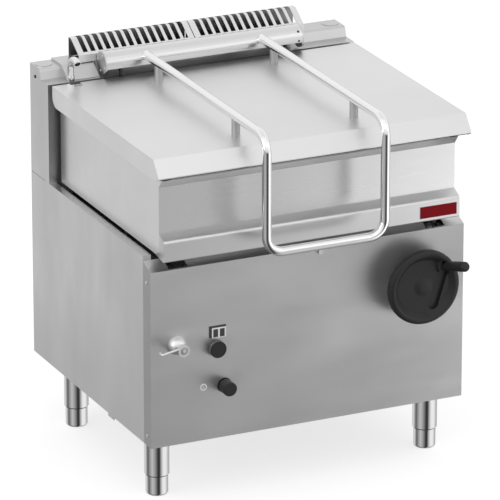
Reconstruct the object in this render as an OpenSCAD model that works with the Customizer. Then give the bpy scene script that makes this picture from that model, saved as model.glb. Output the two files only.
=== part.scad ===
// Tilting bratt pan, gas heated, tilted by a handwheel through worm, pinion and sector gear.
// Millimetres. X is to the right, Y to the rear, Z up. The origin is on the floor under the middle
// of the bounding box. Inside the modules Y is counted from the front panel's face.

/* [Cabinet] */
// Width over the side panels
body_w = 800; // [760:10:900]
// Depth from the front panel's face to the back panel's face
body_d = 696; // [680:2:720]
// Floor to the cabinet's lower edge
leg_h = 150; // [120:5:200]
// Floor to the side panels' top edge
side_top = 610; // [600:1:612]
// Floor to the front panel's upper front edge
front_top = 581; // [570:1:584]
// Depth of the front panel box
front_d = 42; // [38:1:46]
// Sheet thickness of the cabinet
sheet = 1.5; // [1:0.1:2]

/* [Rear housing] */
// Depth of the rear housing
rear_d = 108; // [104:1:108]
// Floor to the ledge of the rear housing
ledge_z = 855; // [850:1:855]
// Height of the raised end blocks above the ledge
block_h = 25; // [15:1:30]
// Half length of the flue grille
grille_half = 303; // [280:1:303]
// Distance between grille slots
slot_pitch = 20; // [18:0.5:24]
// Width of one grille slot
slot_w = 12; // [8:0.5:13]

/* [Pan] */
// Gap between the pan jacket and the outer face of each side panel
pan_gap = 24; // [22:1:30]
// Floor to the underside of the pan jacket
pan_bottom = 617; // [616:1:620]
// Thickness of the heated base plate
base_t = 12; // [8:1:15]
// Pan tilt axis, height above the floor
pivot_z = 566; // [564:1:567]
// Pan tilt axis, distance behind the front panel's face
pivot_y = 22; // [21:0.5:23]

/* [Lid] */
// Overhang of the lid over the pan jacket at each side
lid_over = 19.5; // [14:0.5:21.5]
// Height of the lid's top face above the rear ledge
lid_step = 1.5; // [1:0.1:2]
// Radius of the spring barrel
barrel_r = 28.5; // [27:0.5:28.5]
// Half length of the spring barrel
barrel_half = 258; // [240:1:260]
// Outer radius of the handle tube
tube_r = 11; // [8:0.5:11]
// Distance of each handle arm from the middle
arm_x = 150; // [120:1:155]

/* [Drive] */
// Handwheel diameter
wheel_d = 181; // [150:1:186]
// Module of pinion and sector
gear_m = 3; // [3]
// Teeth on the pinion
pinion_n = 18; // [18]
// Teeth on the sector's full circle
sector_n = 72; // [72]
// Module of worm and worm wheel
worm_m = 2; // [2]
// Teeth on the worm wheel
worm_wheel_n = 32; // [32]
// Threads on the worm
worm_starts = 2; // [2]

/* [Hidden] */
$fn = 48;

// Fits
run_fit = 0.05;
press_fit = 0.02;
eps = 1;

// Cabinet
half_w = body_w / 2;
inner_half = half_w - sheet;
side_front = front_d;
rear_front = body_d - rear_d;
back_inner = body_d - sheet;
slope_rise = 16;
slope_back_z = front_top + slope_rise;
side_flange = 20;
rail = 30;
rail_out = inner_half - 2.5;
rail_in = rail_out - rail;
rail_front = side_front + 4;
rail_back = back_inner - 4;
rail_top = side_top - 10;
beam_z = 412;
rear_beam_z = side_top - 120;
leg_x = half_w - 52;
leg_front_y = 88;
leg_rear_y = rear_front - 27;
sleeve_r = 29.5;
foot_r = 26.5;
sleeve_low = 51;

// Rear housing
block_front = rear_front + 42;
block_in_left = 55 - half_w;
block_in_right = barrel_half + 28;
block_top = ledge_z + block_h;
step_front = body_d - 62;
step_z = ledge_z + 30;
deck_front = rear_front + 4;
deck_in = -barrel_half - 8;
grille_front = body_d - 67.5;
grille_slope_low = step_z + 18;
grille_ridge_y = body_d - 24;
grille_ridge_z = step_z + 44;
grille_back = body_d - 5;
grille_top = step_z + 47;
plug_x = half_w - 24;
plug_y = body_d - 24;
plug_r = 21;

// Pan
pan_w = body_w - 2 * pan_gap;
pan_half = pan_w / 2;
pan_front = 4.5;
pan_rear = rear_front - 18;
jacket_t = 1.5;
lid_top = ledge_z + lid_step;
lip_z = lid_top - 74.5;
lip_tip_y = -11;
lip_tip_z = lid_top - 55.5;
cheek_z = lid_top - 38.5;
rim_z = lid_top - 2.3;
well_half = pan_half - 21;
well_t = 3;
well_bottom = 650;
well_rear = pan_rear - 22;

// Front trim under the recessed front wall
trim_top = 672;
trim_face = -23.5;
trim_low = 609;

// Lid and spring barrel
lid_w = pan_w + 2 * lid_over;
lid_half = lid_w / 2;
lid_t = 2;
lid_rear = rear_front - 15;
lid_front = -10;
lid_nose = -40.5;
lid_nose_z = lid_top - 37.5;
lid_low = lid_top - 48.5;
barrel_y = rear_front + 11;
barrel_z = lid_top + 30.5;
barrel_t = 2;
hinge_r = 9;
hinge_bracket_x = barrel_half - 43;
arm_z = barrel_z + 12;
leg_y = -90;
bend_r = 42;
bar_z = 620;
corner_r = 41;
standoff_r = 10;
standoff_front_y = 77;
standoff_rear_y = lid_rear - 63;

// Water spout and the notch in the lid that clears it
spout_x = 62 - half_w;
spout_y = rear_front + 9;
spout_r = 8.5;
spout_bend = 27.5;
spout_bend_z = ledge_z + 30.5;
spout_turn = 124;
notch_r = 13.5;
notch_y = spout_y - 38;

// Fire box and burners
fire_half = rail_in - 36;
fire_y0 = 215;
fire_y1 = rear_front - 28;
fire_z0 = side_top - 140;
fire_z1 = side_top - 4;
duct_z0 = side_top - 70;
duct_z1 = side_top - 10;
burner_pitch = (2 * fire_half - 180) / 3;
burner_xs = [for (i = [-1.5 : 1.5]) i * burner_pitch];
burner_y0 = fire_y0 + 10;
burner_y1 = fire_y1 - 20;
burner_z = side_top - 65;
burner_r = 19;
neck_r = 13;
pilot_x = -160;
pilot_z = burner_z + 15;

// Tilt drive: stub axles, lugs and gears are set out from the frame's side rails
lug_t = 12;
cheek_x1 = rail_in - 18;
cheek_x0 = cheek_x1 - 10;
lug_x1 = cheek_x0 - 4;
gear_x1 = lug_x1 - lug_t;
gear_x0 = gear_x1 - 12;
wheel_x = gear_x0 - 37.7;
wheel_z = 458.5;
wheel_r = wheel_d / 2;
wheel_front = 58;
wheel_back = 34;
shaft_r = 8;
worm_wheel_r = worm_m * worm_wheel_n / 2;
worm_r = 13;
worm_pitch = PI * worm_m;
worm_lead = worm_pitch * worm_starts;
worm_lead_angle = atan(worm_lead / (2 * PI * worm_r));
worm_len = 44;
worm_phase = 360 - 180 * worm_len / worm_lead;
cross_z = wheel_z + worm_r + worm_wheel_r;
pinion_r = gear_m * pinion_n / 2;
sector_r = gear_m * sector_n / 2;
gear_centres = pinion_r + sector_r;
mesh_a = asin((cross_z - pivot_z) / gear_centres);
cross_y = pivot_y + gear_centres * cos(mesh_a);
pin_r = 8;
cross_r = 7;
cross_x0 = wheel_x - 32.3;
cross_x1 = gear_x1 + 14;
worm_bearings = [rail_front + rail, cross_y + 54.34];
cross_bearings = [cross_x0 + 6, cross_x1 - 10];

// Folding grip: the trough in the wheel runs from the grip's pivot at trough_a
grip_px = 54.3;
grip_py = 44.6;
grip_pz = 50;
trough_a = 252.5;
trough_len = 108;
grip_open = 107;
grip_len = 96;
grip_r = 12;
spindle_r = 5;

// Controls
tap_x = 65 - half_w;
tap_z = 395;
knob_x = tap_x + 99;
knob_z = 373;
knob_r = 20;
knob_d = 16;
knob_stem = 12;
piezo_x = knob_x + 21;
piezo_z = 278;
gas_in_x = knob_x;
gas_in_z = leg_h + 50;
water_in_z = leg_h + 90;

// The origin lies under the middle between the unfolded grip's end and the gas inlet's end
gas_in_reach = 20;
front_reach = grip_pz + (grip_len - 8) * sin(grip_open) + (grip_r - 8) * abs(cos(grip_open)) + 8;
mid_y = (body_d + gas_in_reach - front_reach) / 2;

function arc(cx, cy, r, a0, a1, n) =
    [for (i = [0 : n]) [cx + r * cos(a0 + (a1 - a0) * i / n), cy + r * sin(a0 + (a1 - a0) * i / n)]];

function polar(r, a) = [r * cos(a), r * sin(a)];

module place() translate([0, -mid_y, 0]) children();

module box(x0, x1, y0, y1, z0, z1)
    translate([x0, y0, z0]) cube([x1 - x0, y1 - y0, z1 - z0]);

// A section drawn as [y, z], extruded from x0 to x1
module section_x(x0, x1)
    translate([x0, 0, 0]) rotate([90, 0, 90]) linear_extrude(x1 - x0) children();

module rod_x(x0, x1, y, z, r)
    translate([x0, y, z]) rotate([0, 90, 0]) cylinder(h = x1 - x0, r = r);

module rod_y(x, y0, y1, z, r)
    translate([x, y0, z]) rotate([-90, 0, 0]) cylinder(h = y1 - y0, r = r);

module rod_z(x, y, z0, z1, r)
    translate([x, y, z0]) cylinder(h = z1 - z0, r = r);

module both_sides() {
    children();
    mirror([1, 0, 0]) children();
}

// Seen from the front with z towards the viewer, at a point of the front panel
module on_panel(x, z) translate([x, 0, z]) rotate([90, 0, 0]) children();

// Welded frame of square tube: lower ring, four uprights, upper side rails and a front beam
module base_frame() {
    low = leg_h + 2;
    place() color("gray") {
        both_sides() {
            box(rail_in, rail_out, rail_front, rail_back, low, low + rail);
            box(rail_in, rail_out, rail_front, rail_front + rail, low + rail, rail_top - rail);
            box(rail_in, rail_out, rail_back - rail, rail_back, low + rail, rail_top - rail);
            box(rail_in, rail_out, rail_front, rail_back, rail_top - rail, rail_top);
            for (y = [leg_front_y, leg_rear_y])
                box(leg_x - 32, rail_in, y - 32, y + 32, low, low + 6);
        }
        box(-rail_in, rail_in, rail_front, rail_front + rail, low, low + rail);
        box(-rail_in, rail_in, rail_back - rail, rail_back, low, low + rail);
        box(-rail_in, rail_in, rail_front, rail_front + rail, beam_z, beam_z + rail);
        box(-rail_in, rail_in, rail_back - rail, rail_back, rear_beam_z, rear_beam_z + rail);
    }
}

// One side panel with its inward top flange, front return and lower return
module side_panel() {
    box(inner_half, half_w, side_front, back_inner, leg_h, side_top);
    box(half_w - side_flange, inner_half, side_front, rear_front, side_top - sheet, side_top);
    box(half_w - side_flange, inner_half, side_front, side_front + sheet, leg_h + 40, side_top - sheet);
    box(half_w - side_flange, inner_half, side_front + sheet, back_inner, leg_h, leg_h + sheet);
    box(inner_half, half_w, 215, 250, leg_h - 7, leg_h);
}

module side_panel_left() place() color("silver") mirror([1, 0, 0]) side_panel();

module side_panel_right() place() color("silver") side_panel();

module back_panel() {
    place() color("silver") difference() {
        box(-half_w, half_w, back_inner, body_d, leg_h, block_top);
        rod_y(gas_in_x, back_inner - eps, body_d + eps, gas_in_z, 14);
        rod_y(tap_x, back_inner - eps, body_d + eps, water_in_z, 12);
        for (x = [-300 : 60 : 300])
            box(x - 20, x + 20, back_inner - eps, body_d + eps, 300, 306);
    }
}

// Front panel: a shallow box with a sloped top, open at the rear, with holes for the controls and
// two slots in the slope that the pan's lugs swing up through
module front_panel() {
    outer = [[0, leg_h], [0, front_top], [front_d, slope_back_z], [front_d, leg_h]];
    inner = [[sheet, leg_h + sheet], [sheet, front_top - sheet], [front_d - sheet, slope_back_z - 2.4],
        [front_d + eps, slope_back_z - 2.4], [front_d + eps, leg_h + sheet]];
    place() color("silver") difference() {
        section_x(-half_w, half_w) polygon(outer);
        section_x(-inner_half, inner_half) polygon(inner);
        both_sides() box(gear_x0 - 6, cheek_x1 + 4, 4, front_d + eps, front_top - 8, slope_back_z + eps);
        rod_y(wheel_x, -eps, sheet + eps, wheel_z, shaft_r + 2);
        rod_y(tap_x, -eps, sheet + eps, tap_z, 14);
        rod_y(knob_x, -eps, sheet + eps, knob_z, 6);
        rod_y(piezo_x, -eps, sheet + eps, piezo_z, 14);
    }
}

// Slanted front and rounded upper edge of a raised end block
module block_section(inset) {
    r = 10 - inset;
    polygon(concat([[back_inner - inset, ledge_z - 2 * eps], [block_front + inset, ledge_z - 2 * eps]],
        arc(block_front + 16, block_top - 10, r, 160, 90, 5), [[back_inner - inset, block_top - inset]]));
}

// Outer shape of the rear housing, drawn smaller by inset for its inside
module rear_shape(inset) {
    x = half_w - inset;
    end = inset > 0 ? -inset : eps;
    box(-x, x, rear_front + inset, back_inner + inset * 2, side_top - inset * 2, ledge_z - inset);
    section_x(-x, block_in_left - inset) block_section(inset);
    section_x(block_in_right + inset, x) block_section(inset);
    box(block_in_left - end, block_in_right + end, step_front + inset, back_inner + inset * 2,
        ledge_z - 2 * eps, step_z - inset);
    section_x(block_in_left - end, deck_in - inset)
        polygon([[deck_front + inset, ledge_z - 2 * eps], [deck_front + inset, ledge_z + 3 - inset],
            [step_front + inset, step_z - inset], [step_front + inset, ledge_z - 2 * eps]]);
}

// Rear column: ledge, end blocks and the step that carries the flue grille
module rear_housing() {
    place() color("silver") difference() {
        rear_shape(0);
        rear_shape(sheet);
        box(-inner_half, inner_half, back_inner - eps, body_d, side_top - eps, block_top - sheet);
        box(-grille_half + 8, block_in_right - 8, step_front + 6, back_inner - 4, step_z - 4, step_z + eps);
        rod_z(spout_x, spout_y, ledge_z - 5, ledge_z + 20, 7);
    }
}

module flue_duct() {
    x0 = -grille_half + 9.5;
    x1 = block_in_right - 9.5;
    y0 = step_front + 7.5;
    y1 = back_inner - 5.5;
    place() color("dimgray") difference() {
        union() {
            box(x0, x1, y0, y1, duct_z0, step_z - sheet);
            box(x0, x1, fire_y1, y0 + eps, duct_z0, duct_z1);
        }
        box(x0 + sheet, x1 - sheet, y0 + sheet, y1 - sheet, duct_z0 + sheet, step_z + eps);
        box(x0 + sheet, x1 - sheet, fire_y1 - eps, y0 + 2 * eps, duct_z0 + sheet, duct_z1 - sheet);
    }
}

// Half a grille: riser, slope, ridge and back of one bent sheet, open at its ends, with slots that
// run up the slope and wrap over the ridge
module grille(x0, x1) {
    t = sheet;
    outer = concat([[grille_front, step_z], [grille_front, grille_slope_low]],
        arc(grille_ridge_y + 8, grille_ridge_z - 12, 16, 125, 75, 5),
        [[grille_back, grille_top], [grille_back, step_z]]);
    inner = concat([[grille_back - t, step_z], [grille_back - t, grille_top - t]],
        arc(grille_ridge_y + 8, grille_ridge_z - 12, 16 - t, 75, 125, 5),
        [[grille_front + t, grille_slope_low - 0.5], [grille_front + t, step_z]]);
    count = floor((x1 - x0 - 16) / slot_pitch);
    first = (x0 + x1) / 2 - (count - 1) * slot_pitch / 2;
    difference() {
        section_x(x0, x1) polygon(concat(outer, inner));
        for (i = [0 : count - 1])
            translate([first + i * slot_pitch - slot_w / 2, grille_front + 7, grille_slope_low - 10])
                cube([slot_w, grille_back - grille_front - 10, 60]);
    }
    box(x0, x1, grille_front, step_front + 6, step_z, step_z + t);
}

module flue_grille_left() place() color("lightgray") grille(-grille_half, -1);

module flue_grille_right() place() color("lightgray") grille(1, block_in_right - 1);

module housing_plugs() {
    place() color("silver") both_sides()
        rod_z(plug_x, plug_y, block_top, block_top + 1.2, plug_r);
}

module at_legs()
    for (x = [-leg_x, leg_x], y = [leg_front_y, leg_rear_y]) translate([x, y, 0]) children();

module leg_sleeves() {
    place() color("silver") at_legs() difference() {
        rod_z(0, 0, sleeve_low, leg_h + 2, sleeve_r);
        rod_z(0, 0, sleeve_low - eps, leg_h - 6, foot_r + run_fit);
    }
}

// Screw feet with a rounded lower edge, sunk into the sleeves
module leg_feet() {
    place() color("silver") at_legs()
        rotate_extrude() polygon(concat([[0, 0]], arc(foot_r - 6, 6, 6, 270, 360, 5),
            [[foot_r, 90], [0, 90]]));
}

// One bracket: a cheek that holds the stub axle and a flange against the frame's upright
module pivot_bracket() {
    difference() {
        union() {
            section_x(cheek_x0, cheek_x1) {
                translate([pivot_y, pivot_z]) circle(r = 17);
                polygon([[pivot_y - 12, pivot_z - 12], [pivot_y + 12, pivot_z + 12],
                    [rail_front + rail, pivot_z - 6], [rail_front + rail, pivot_z - 96],
                    [rail_front, pivot_z - 96]]);
            }
            box(cheek_x1, rail_in, rail_front + rail - 10, rail_front + rail, pivot_z - 96, pivot_z - 6);
        }
        rod_x(cheek_x0 - eps, cheek_x1 + eps, pivot_y, pivot_z, pin_r + press_fit);
    }
}

module pivot_bracket_left() place() color("gray") mirror([1, 0, 0]) pivot_bracket();

module pivot_bracket_right() place() color("gray") pivot_bracket();

module pivot_pins() {
    place() color("silver") both_sides() {
        rod_x(gear_x0 - 6, cheek_x1 + 1, pivot_y, pivot_z, pin_r);
        rod_x(cheek_x1, cheek_x1 + 7, pivot_y, pivot_z, 12);
        rod_x(gear_x0 - 6, gear_x0 - 2, pivot_y, pivot_z, 12);
    }
}

// Welded bracket behind the frame's front beam with two worm bearings and two cross shaft bearings
module gear_bracket() {
    z0 = beam_z + rail / 2;
    place() color("gray") difference() {
        union() {
            box(wheel_x - 28.3, rail_in - 16, rail_front + rail, worm_bearings[1] + 10, z0, z0 + 6);
            for (y = worm_bearings)
                box(wheel_x - 22, wheel_x + 22, y, y + 10, z0, wheel_z + 20);
            for (x = cross_bearings)
                box(x, x + 8, cross_y - 16, cross_y + 16, z0, cross_z + 16);
        }
        rod_y(wheel_x, 50, worm_bearings[1] + 14, wheel_z, shaft_r + 3);
        rod_x(cross_x0, cross_x1 + 4, cross_y, cross_z, cross_r + 3);
    }
}

// Four bearing bushes, pressed into the bracket
module gear_bushes() {
    place() color("goldenrod") difference() {
        union() {
            for (y = worm_bearings)
                rod_y(wheel_x, y, y + 10, wheel_z, shaft_r + 3 - press_fit);
            for (x = cross_bearings)
                rod_x(x, x + 8, cross_y, cross_z, cross_r + 3 - press_fit);
        }
        rod_y(wheel_x, 50, worm_bearings[1] + 14, wheel_z, shaft_r + run_fit);
        rod_x(cross_x0, cross_x1 + 4, cross_y, cross_z, cross_r + run_fit);
    }
}

// Rubber buffers on the upper side rails that the lowered pan sits on
module pan_rests() {
    place() color("black") both_sides()
        for (y = [200, rear_front - 68]) rod_z(rail_in + 4, y, rail_top, pan_bottom - 0.2, 4);
}

// Combustion chamber, open at the top, with an outlet to the flue at the rear
module fire_box() {
    place() color("dimgray") difference() {
        union() {
            box(-fire_half, fire_half, fire_y0, fire_y1, fire_z0, fire_z1);
            both_sides() box(fire_half - 2, rail_in, fire_y0 + 30, fire_y1 - 50, fire_z1 - 21, fire_z1 - 18);
        }
        box(2 - fire_half, fire_half - 2, fire_y0 + 2, fire_y1 - 2, fire_z0 + 2, fire_z1 + eps);
        box(-grille_half + 11, block_in_right - 11, fire_y1 - 3, fire_y1 + eps,
            duct_z0 + sheet, duct_z1 - sheet);
        for (bx = burner_xs) rod_y(bx, fire_y0 - eps, fire_y0 + 3, burner_z, neck_r + run_fit);
        rod_y(pilot_x, fire_y0 - eps, fire_y0 + 3, pilot_z, 5);
    }
}

module burner_tubes() {
    place() color("darkgray") for (bx = burner_xs) difference() {
        union() {
            rod_y(bx, burner_y0, burner_y1, burner_z, burner_r);
            rod_y(bx, fire_y0 - 30, burner_y0, burner_z, neck_r);
        }
        rod_y(bx, fire_y0 - 31, burner_y1 - 10, burner_z, neck_r - 3);
        for (y = [burner_y0 + 25 : 30 : burner_y1 - 20])
            box(bx - 6, bx + 6, y, y + 4, burner_z, burner_z + burner_r + 6);
    }
}

// Gas rail with four injectors and the riser from the valve
module gas_manifold() {
    place() color("goldenrod") {
        rod_x(burner_xs[0] - 10, burner_xs[3] + 10, 160, burner_z, 10);
        for (bx = burner_xs) rod_y(bx, 160, fire_y0 - 30.5, burner_z, 6);
        rod_z(gas_in_x, 160, knob_z, burner_z, 7);
        rod_y(gas_in_x, 75, 160, knob_z, 7);
        translate([gas_in_x, 160, knob_z]) sphere(r = 8);
    }
}

// Pipe from the connection at the rear to the valve's underside
module gas_inlet() {
    place() color("goldenrod") {
        rod_z(gas_in_x, 50, gas_in_z, knob_z - 27, 9);
        translate([gas_in_x, 50, gas_in_z]) sphere(r = 11);
        rod_y(gas_in_x, 50, body_d + 2, gas_in_z, 9);
        rod_y(gas_in_x, body_d + 2, body_d + gas_in_reach, gas_in_z, 10.5);
    }
}

module gas_valve() {
    place() color("silver") {
        box(knob_x - 26, knob_x + 26, 20, 75, knob_z - 27, knob_z + 25);
        rod_y(knob_x, -knob_stem, 20, knob_z, 4);
        rod_y(knob_x, sheet, 20, knob_z, 12);
    }
}

// Pilot burner and spark electrode through the fire box wall, with a foot on the wall
module pilot_igniter() {
    place() color("silver") {
        rod_y(pilot_x, fire_y0 - 25, fire_y0 + 55, pilot_z, 4.9);
        box(pilot_x - 15, pilot_x + 15, fire_y0 - 3, fire_y0, pilot_z - 15, pilot_z + 15);
        rod_y(pilot_x, fire_y0 + 47, fire_y0 + 57, pilot_z, 8);
    }
}

// Flange and neck of the igniter in front of the panel, its spark generator behind the panel
module piezo_housing() {
    place() color("black") on_panel(piezo_x, piezo_z) difference() {
        union() {
            cylinder(h = 1, r = 18);
            translate([0, 0, -36]) cylinder(h = 60, r = 13.5);
        }
        translate([0, 0, -20]) cylinder(h = 50, r = 10 + run_fit);
    }
}

// Cap that slides over the neck, with its stem
module igniter_button() {
    place() color("black") on_panel(piezo_x, piezo_z) {
        translate([0, 0, -12]) cylinder(h = 44, r = 10);
        rotate_extrude() polygon(concat([[0, 31], [14, 31], [14, 6.5], [17, 6.5]],
            arc(15, 32, 2, 0, 90, 4), [[0, 34]]));
    }
}

// Shut-off valve: body behind the panel, dome and neck in front of it
module tap_valve() {
    place() color("silver") on_panel(tap_x, tap_z) difference() {
        union() {
            rotate_extrude() polygon(concat([[0, 0]], arc(0, 0, 22, 0, 68, 8), [[8.2, 30], [0, 30]]));
            translate([0, 0, -60]) cylinder(h = 60.5, r = 13.8);
        }
        translate([0, 0, 10]) cylinder(h = 40, r = 5 + run_fit);
    }
}

// Handle disc with a ring and a screw in its face, and a thin lever whose end turns back to the panel
module tap_lever() {
    place() color("silver") on_panel(tap_x, tap_z) {
        translate([0, 0, 12]) cylinder(h = 19, r = 5);
        difference() {
            translate([0, 0, 30.4]) cylinder(h = 12, r = 14);
            translate([0, 0, 41]) cylinder(h = 4, r = 9.5);
        }
        translate([0, 0, 40]) cylinder(h = 2.6, r = 3.2);
        rotate([0, 0, 10.5]) {
            translate([0, 6.5, 36]) rotate([0, -90, 0]) cylinder(h = 52, r = 2.6);
            translate([-52, 6.5, 36]) sphere(r = 3.2);
            translate([-52, 6.5, 24]) cylinder(h = 12, r = 2.4);
        }
    }
}

// Feed from the connection at the rear to the tap's underside
module water_inlet() {
    place() color("peru") {
        difference() {
            rod_z(tap_x, 40, water_in_z, tap_z, 6);
            rod_y(tap_x, 0, 100, tap_z, 13.8);
        }
        translate([tap_x, 40, water_in_z]) sphere(r = 7);
        rod_y(tap_x, 40, body_d + 2, water_in_z, 6);
        rod_y(tap_x, body_d + 2, body_d + gas_in_reach, water_in_z, 9);
    }
}

module water_pipe() {
    place() color("peru") {
        rod_y(spout_x, 60, spout_y, tap_z, 6);
        translate([spout_x, spout_y, tap_z]) sphere(r = 7);
        rod_z(spout_x, spout_y, tap_z, ledge_z - 1.5, 6);
        rod_z(spout_x, spout_y, ledge_z - 14, ledge_z - 1.5, 7.2);
    }
}

// Swan neck on a collar that stands on the sloped deck
module water_spout() {
    place() color("silver") {
        difference() {
            union() {
                rod_z(spout_x, spout_y, ledge_z - 1.5, spout_bend_z, spout_r);
                rod_z(spout_x, spout_y, ledge_z + 1, ledge_z + 12, 10.5);
                translate([spout_x, spout_y - spout_bend, spout_bend_z]) rotate([90, 0, 90])
                    rotate_extrude(angle = spout_turn) translate([spout_bend, 0]) circle(r = spout_r);
            }
            section_x(spout_x - 30, spout_x + 30)
                polygon([[deck_front - 30, ledge_z - 20], [deck_front - 30, ledge_z],
                    [deck_front, ledge_z], [deck_front, ledge_z + 3], [step_front, step_z],
                    [step_front, ledge_z - 20]]);
            translate([spout_x, spout_y - spout_bend, spout_bend_z]) rotate([90, 0, 90])
                rotate([0, 0, spout_turn - 60]) rotate_extrude(angle = 65)
                    translate([spout_bend, 0]) circle(r = spout_r - 1.5);
        }
        rod_z(spout_x, spout_y, ledge_z - 1.5, ledge_z + 20, 6.9);
    }
}

// Screws that hold the front panel and the housing sides
module panel_screws() {
    place() color("silver") {
        both_sides() {
            for (z = [leg_h + 25, front_top - 30])
                rod_x(half_w, half_w + 1.5, front_d - 20, z, 4);
            rod_x(half_w, half_w + 1.5, body_d - 31, ledge_z - 1, 4);
        }
        on_panel(29, 568) cylinder(h = 4, r = 6);
    }
}

// Inside of the well, as a [y, z] section: slanted front wall and pouring lip
module well_inside() {
    polygon(concat([[lip_tip_y - 6, rim_z + 20], [lip_tip_y + 3.5, lip_tip_z + 2.85], [30, lip_z - 24.1],
        [74, trim_top]], arc(96, well_bottom + well_t + 24, 24, 205, 270, 5),
        arc(well_rear - well_t - 24, well_bottom + well_t + 24, 24, 270, 360, 5),
        [[well_rear - well_t, rim_z + 20]]));
}

// Outside of the well, with cheeks that reach up beside the lip
module well_outside() {
    polygon(concat([[14, rim_z], [-16, cheek_z], [lip_tip_y + 1.2, lip_tip_z + 0.95],
        [pan_front + 1.16, lip_z + 0.95], [28, lip_z - 26.5], [71, trim_top - 2]],
        arc(96, well_bottom + 27, 27, 205, 270, 5), arc(well_rear - 27, well_bottom + 27, 27, 270, 360, 5),
        [[well_rear, rim_z]]));
}

// Stainless well with rim flanges, lip and a rolled bead along the lip
module pan_well() {
    place() color("lightgray") {
        difference() {
            section_x(-well_half, well_half) well_outside();
            section_x(-well_half + well_t, well_half - well_t) well_inside();
        }
        both_sides() box(well_half, pan_half - jacket_t, 16, pan_rear - jacket_t, rim_z - 3, rim_z);
        box(-well_half, well_half, well_rear - 0.5, pan_rear - jacket_t, rim_z - 3, rim_z);
        rod_x(-well_half + well_t, well_half - well_t, lip_tip_y + 1.5, lip_tip_z + 3.7, 2.6);
    }
}

module pan_base() {
    place() color("dimgray")
        box(10 - well_half, well_half - 10, 100, well_rear - 18, well_bottom - base_t, well_bottom);
}

function jacket_outline(t) = [[pan_front + t, pan_bottom + t], [pan_front + t, lip_z + t * 0.3],
    [lip_tip_y + t * 0.78, lip_tip_z + t * 0.63], [-17 + t, cheek_z], [14 + t, rim_z - t],
    [pan_rear - t, rim_z - t], [pan_rear - t, pan_bottom + t]];

// Outer jacket: sides, front, rear and a bottom flange around the opening for the flames
module pan_jacket() {
    place() color("silver") difference() {
        section_x(-pan_half, pan_half) polygon(jacket_outline(0));
        section_x(-pan_half + jacket_t, pan_half - jacket_t) polygon(jacket_outline(jacket_t));
        box(-pan_half + jacket_t, pan_half - jacket_t, lip_tip_y - 20, pan_rear - jacket_t,
            lip_tip_z + 1, rim_z + eps);
        box(15 - well_half, well_half - 15, 130, well_rear, pan_bottom - eps, pan_bottom + 5);
    }
}

// Mineral wool between jacket and well, one slab at each side and one at the rear
module pan_insulation() {
    place() color("khaki") {
        both_sides()
            box(well_half, pan_half - jacket_t, 30, well_rear, pan_bottom + jacket_t, rim_z - 3);
        box(-well_half, well_half, well_rear, pan_rear - jacket_t, pan_bottom + jacket_t, rim_z - 3);
    }
}

// Hollow bull-nosed trim along the front with closed ends
module front_trim() {
    y0 = trim_face;
    t = 1.5;
    outer = concat([[pan_front, trim_top]],
        arc(y0 + 9, trim_top - 19, 9, 122, 180, 6), arc(y0 + 3, trim_low + 3, 3, 180, 270, 3), [[35, pan_bottom], [pan_front, pan_bottom]]);
    inner = [[pan_front, trim_top - 3], [y0 + 5.5, trim_top - 13.5], [y0 + t, trim_top - 20],
        [y0 + t, trim_low + t], [pan_front, trim_low + 4]];
    place() color("silver") difference() {
        section_x(-pan_half, pan_half) polygon(outer);
        section_x(-pan_half + t, pan_half - t) polygon(inner);
    }
}

// Bare plate at the right end of the trim
module badge_plate() {
    place() color("darkred")
        box(pan_half - 102, pan_half - 8, trim_face - 1.2, trim_face, trim_low + 9, trim_low + 37);
}

// Gooseneck lug under the pan: boss on the stub axle, arm behind the panel's slope, bolted foot
module pan_lug(x0, x1) {
    difference() {
        union() {
            section_x(x0, x1) {
                translate([pivot_y, pivot_z]) circle(r = 15.5);
                polygon([[pivot_y, pivot_z + 15.5], [front_d + 3, slope_back_z - 9], [54, pan_bottom - 4],
                    [126, pan_bottom - 4], [62, pivot_z - 15.5], [pivot_y, pivot_z - 15.5]]);
            }
            box(x0 - 6, x1 + 14, 54, 126, pan_bottom - 4, pan_bottom);
        }
        rod_x(x0 - eps, x1 + eps, pivot_y, pivot_z, pin_r + 2);
    }
}

module pan_lug_left() place() color("gray") mirror([1, 0, 0]) pan_lug(gear_x1, lug_x1);

module pan_lug_right() place() color("gray") pan_lug(gear_x1, lug_x1);

module lug_bushes() {
    place() color("goldenrod") both_sides() difference() {
        rod_x(gear_x1, lug_x1, pivot_y, pivot_z, pin_r + 2 - press_fit);
        rod_x(gear_x1 - eps, lug_x1 + eps, pivot_y, pivot_z, pin_r + run_fit);
    }
}

// Involute gear outline
pressure_a = 20;
function inv_deg(a) = tan(a) * 180 / PI - a;
function flank(r, rp, n, slack) = let(rb = rp * cos(pressure_a))
    90 / n - slack / 2 / rp * 180 / PI + inv_deg(pressure_a) - inv_deg(acos(min(1, rb / r)));
function tooth(a, rp, n, m, slack) = let(rb = rp * cos(pressure_a), root = rp - 1.25 * m,
    low = max(rb, root), tip = rp + m, radii = [for (i = [0 : 4]) low + (tip - low) * i / 4])
    concat([polar(root, a - flank(low, rp, n, slack))],
        [for (r = radii) polar(r, a - flank(r, rp, n, slack))],
        [for (i = [4 : -1 : 0]) polar(radii[i], a + flank(radii[i], rp, n, slack))],
        [polar(root, a + flank(low, rp, n, slack))]);
function teeth(first, count, rp, n, m, slack) =
    [for (i = [0 : count - 1]) each tooth(first + i * 360 / n, rp, n, m, slack)];

// Toothed sector, bolted to the right lug, with its hub around the stub axle
module sector_gear() {
    pitch_a = 360 / sector_n;
    count = 16;
    first = mesh_a + pitch_a / 2 - (count - 2) * pitch_a;
    place() color("gray") difference() {
        section_x(gear_x0, gear_x1) translate([pivot_y, pivot_z]) {
            circle(r = 20);
            polygon(concat([[0, 0]], teeth(first, count, sector_r, sector_n, gear_m, 0.35), [[30, 14]]));
        }
        rod_x(gear_x0 - eps, gear_x1 + eps, pivot_y, pivot_z, pin_r + 1);
    }
}

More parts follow.
